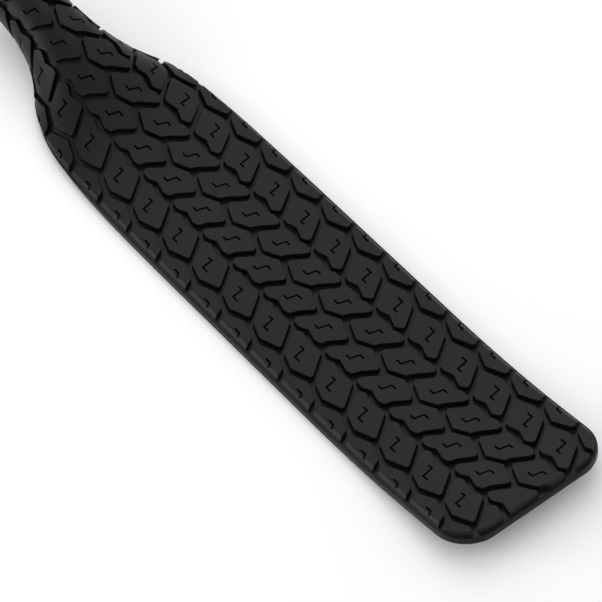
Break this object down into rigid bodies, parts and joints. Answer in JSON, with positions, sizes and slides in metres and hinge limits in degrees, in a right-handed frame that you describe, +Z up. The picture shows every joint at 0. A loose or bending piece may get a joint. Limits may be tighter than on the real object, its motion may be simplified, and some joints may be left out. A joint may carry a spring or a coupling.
{
  "type": "tire traction mat",
  "caption": "Flexible rubber traction mat with interlocking tread blocks, a raised toe and a tail rolled lengthwise into a tube, laid under a stuck wheel for grip.",
  "frame": {"origin": "underside of the flat stretch, on the centre line, inside the middle segment", "axes": "+X along the mat towards the raised toe, +Y across it to the left when facing the toe, +Z up out of the tread"},
  "size_m": [0.8758, 0.1896, 0.0812],
  "materials": {
    "base_rubber": "matte",
    "tread_rubber": "matte"
  },
  "bodies": {
    "middle": {"middle_base": "base_rubber", "middle_left_centre_tread": "tread_rubber", "middle_left_edge_tread": "tread_rubber", "middle_left_shoulder_tread": "tread_rubber", "middle_right_centre_tread": "tread_rubber", "middle_right_edge_tread": "tread_rubber", "middle_right_shoulder_tread": "tread_rubber"},
    "front": {"front_base": "base_rubber", "front_left_centre_tread": "tread_rubber", "front_left_edge_tread": "tread_rubber", "front_left_shoulder_tread": "tread_rubber", "front_right_centre_tread": "tread_rubber", "front_right_edge_tread": "tread_rubber", "front_right_shoulder_tread": "tread_rubber"},
    "toe": {"toe_base": "base_rubber", "toe_left_centre_tread": "tread_rubber", "toe_left_edge_tread": "tread_rubber", "toe_left_shoulder_tread": "tread_rubber", "toe_right_centre_tread": "tread_rubber", "toe_right_edge_tread": "tread_rubber", "toe_right_shoulder_tread": "tread_rubber"},
    "rear": {"rear_base": "base_rubber", "rear_left_centre_tread": "tread_rubber", "rear_left_edge_tread": "tread_rubber", "rear_left_shoulder_tread": "tread_rubber", "rear_right_centre_tread": "tread_rubber", "rear_right_edge_tread": "tread_rubber", "rear_right_shoulder_tread": "tread_rubber"},
    "tail": {"tail_base": "base_rubber", "tail_left_centre_tread": "tread_rubber", "tail_left_edge_tread": "tread_rubber", "tail_left_shoulder_tread": "tread_rubber", "tail_right_centre_tread": "tread_rubber", "tail_right_edge_tread": "tread_rubber", "tail_right_shoulder_tread": "tread_rubber"},
    "left_wing": {"left_wing_base": "base_rubber", "left_wing_left_edge_tread": "tread_rubber", "left_wing_left_shoulder_tread": "tread_rubber"},
    "right_wing": {"right_wing_base": "base_rubber", "right_wing_right_edge_tread": "tread_rubber", "right_wing_right_shoulder_tread": "tread_rubber"}
  },
  "joints": [
    {"name": "front_flex", "type": "hinge", "parent": "middle", "child": "front", "pos_m": [0.06713, 0, 0.004], "axis": [0, -1, 0], "range_deg": [-15, 12], "stiffness_Nm_per_rad": 14},
    {"name": "toe_flex", "type": "hinge", "parent": "front", "child": "toe", "pos_m": [0.1659, 0, 0.00812], "axis": [0, -1, 0], "range_deg": [-15, 12], "stiffness_Nm_per_rad": 8},
    {"name": "rear_flex", "type": "hinge", "parent": "middle", "child": "rear", "pos_m": [-0.07987, 0, 0.004], "axis": [0, 1, 0], "range_deg": [-15, 12], "stiffness_Nm_per_rad": 30},
    {"name": "tail_flex", "type": "hinge", "parent": "rear", "child": "tail", "pos_m": [-0.22741, 0, 0.00634], "axis": [0, 1, 0], "range_deg": [-15, 12], "stiffness_Nm_per_rad": 20},
    {"name": "left_wing_curl", "type": "hinge", "parent": "tail", "child": "left_wing", "pos_m": [-0.48401, 0.02459, 0.04899], "axis": [0.9908, 0.0592, -0.122], "range_deg": [-4, 12], "stiffness_Nm_per_rad": 6},
    {"name": "right_wing_curl", "type": "hinge", "parent": "tail", "child": "right_wing", "pos_m": [-0.48401, -0.02459, 0.04899], "axis": [-0.9908, 0.0592, 0.122], "range_deg": [-4, 12], "stiffness_Nm_per_rad": 6}
  ]
}
